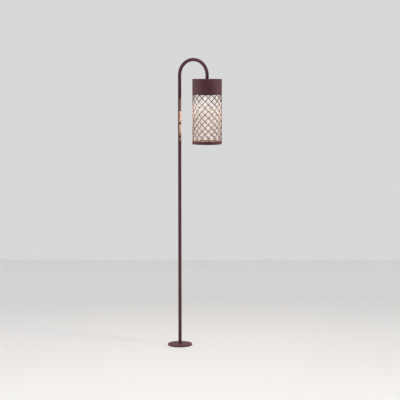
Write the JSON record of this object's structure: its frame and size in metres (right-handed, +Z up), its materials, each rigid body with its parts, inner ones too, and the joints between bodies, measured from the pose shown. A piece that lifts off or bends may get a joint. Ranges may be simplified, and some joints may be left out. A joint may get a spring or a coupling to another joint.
{
  "type": "floor lamp",
  "caption": "Tall slim floor lamp: round foot plate, straight pole with an arched top, and a drum lantern whose crossed-rod cage wraps a glowing sleeve.",
  "frame": {"origin": "centre of the foot's underside, on the floor, under the pole's axis", "axes": "+Z up along the pole, +X from the pole towards the lantern, +Y completes the right-handed set"},
  "size_m": [0.427, 0.216, 2.1499],
  "materials": {
    "plum_steel": "satin plum-brown powder coat on steel",
    "plum_aluminium": "satin plum-brown powder coat on aluminium",
    "zinc_steel": "zinc-plated steel",
    "bare_aluminium": "plain mill finish",
    "brass_plain": "plain brass",
    "rubber_black": "matt black rubber",
    "silicone_white": "soft white silicone",
    "opal_plastic": "warm white translucent plastic, satin outside",
    "clear_plastic": "clear polycarbonate",
    "white_plastic": "white moulded housing",
    "black_plastic": "black moulded housing",
    "cable_black": "black cable sheath",
    "led_white": "white solder mask with a warm emitter"
  },
  "bodies": {
    "root": {"foot_pad": "rubber_black", "foot_plate": "plum_steel", "cable_grommet": "rubber_black", "foot_spigot": "zinc_steel", "pole_lower": "plum_steel", "joint_sleeve": "zinc_steel", "pole_arch": "plum_steel", "set_screws": "zinc_steel", "arm_bush": "zinc_steel", "arm_nipple": "zinc_steel", "arm_seal": "rubber_black", "cap_shell": "plum_aluminium", "nipple_washer": "zinc_steel", "nipple_nut": "zinc_steel", "clinch_nuts": "zinc_steel", "cage_hoop": "plum_aluminium", "cage_rods_inner": "plum_aluminium", "cage_rods_outer": "plum_aluminium", "cage_ring": "plum_aluminium", "chassis_plate": "bare_aluminium", "diffuser_gasket": "silicone_white", "diffuser": "opal_plastic", "clamp_ring": "plum_aluminium", "clamp_screws": "zinc_steel", "heat_sink": "bare_aluminium", "led_board": "led_white", "lens_gasket": "silicone_white", "led_lens": "clear_plastic", "lens_bezel": "plum_aluminium", "bezel_screws": "zinc_steel", "led_driver": "white_plastic", "driver_screws": "zinc_steel", "terminal_block": "white_plastic", "block_screws": "zinc_steel", "earth_screw": "brass_plain", "inline_connector": "black_plastic", "inner_cable": "cable_black", "mains_lead": "cable_black", "led_lead": "cable_black"}
  },
  "joints": []
}
